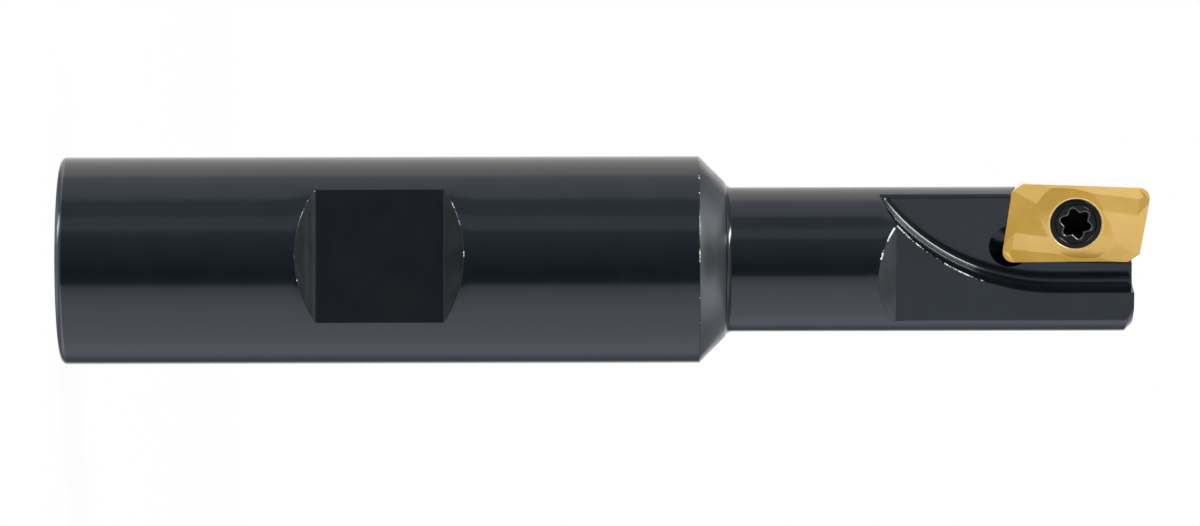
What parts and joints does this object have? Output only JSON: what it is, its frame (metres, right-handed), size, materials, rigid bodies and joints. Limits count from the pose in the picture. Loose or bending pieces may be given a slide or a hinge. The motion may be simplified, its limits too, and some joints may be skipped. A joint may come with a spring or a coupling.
{
  "type": "indexable end mill",
  "caption": "Straight-shank milling cutter with a cone down to a slim neck, clamping flat, chip gullet and a screwed-on parallelogram carbide insert.",
  "frame": {"origin": "on the tool's axis, at the shank's end face", "axes": "+Z along the tool's axis towards the cutting head; -Y the way the insert's face looks; -X towards the insert's active cutting edge"},
  "size_m": [0.0158, 0.0158, 0.0833],
  "materials": {
    "black_oxide_steel": "semi-gloss black oxide over turned and milled steel",
    "coated_carbide": "satin gold-coloured titanium nitride coating",
    "screw_steel": "oiled black steel"
  },
  "bodies": {
    "root": {"cutter_body": "black_oxide_steel", "cutting_insert": "coated_carbide", "insert_screw": "screw_steel"}
  },
  "joints": []
}
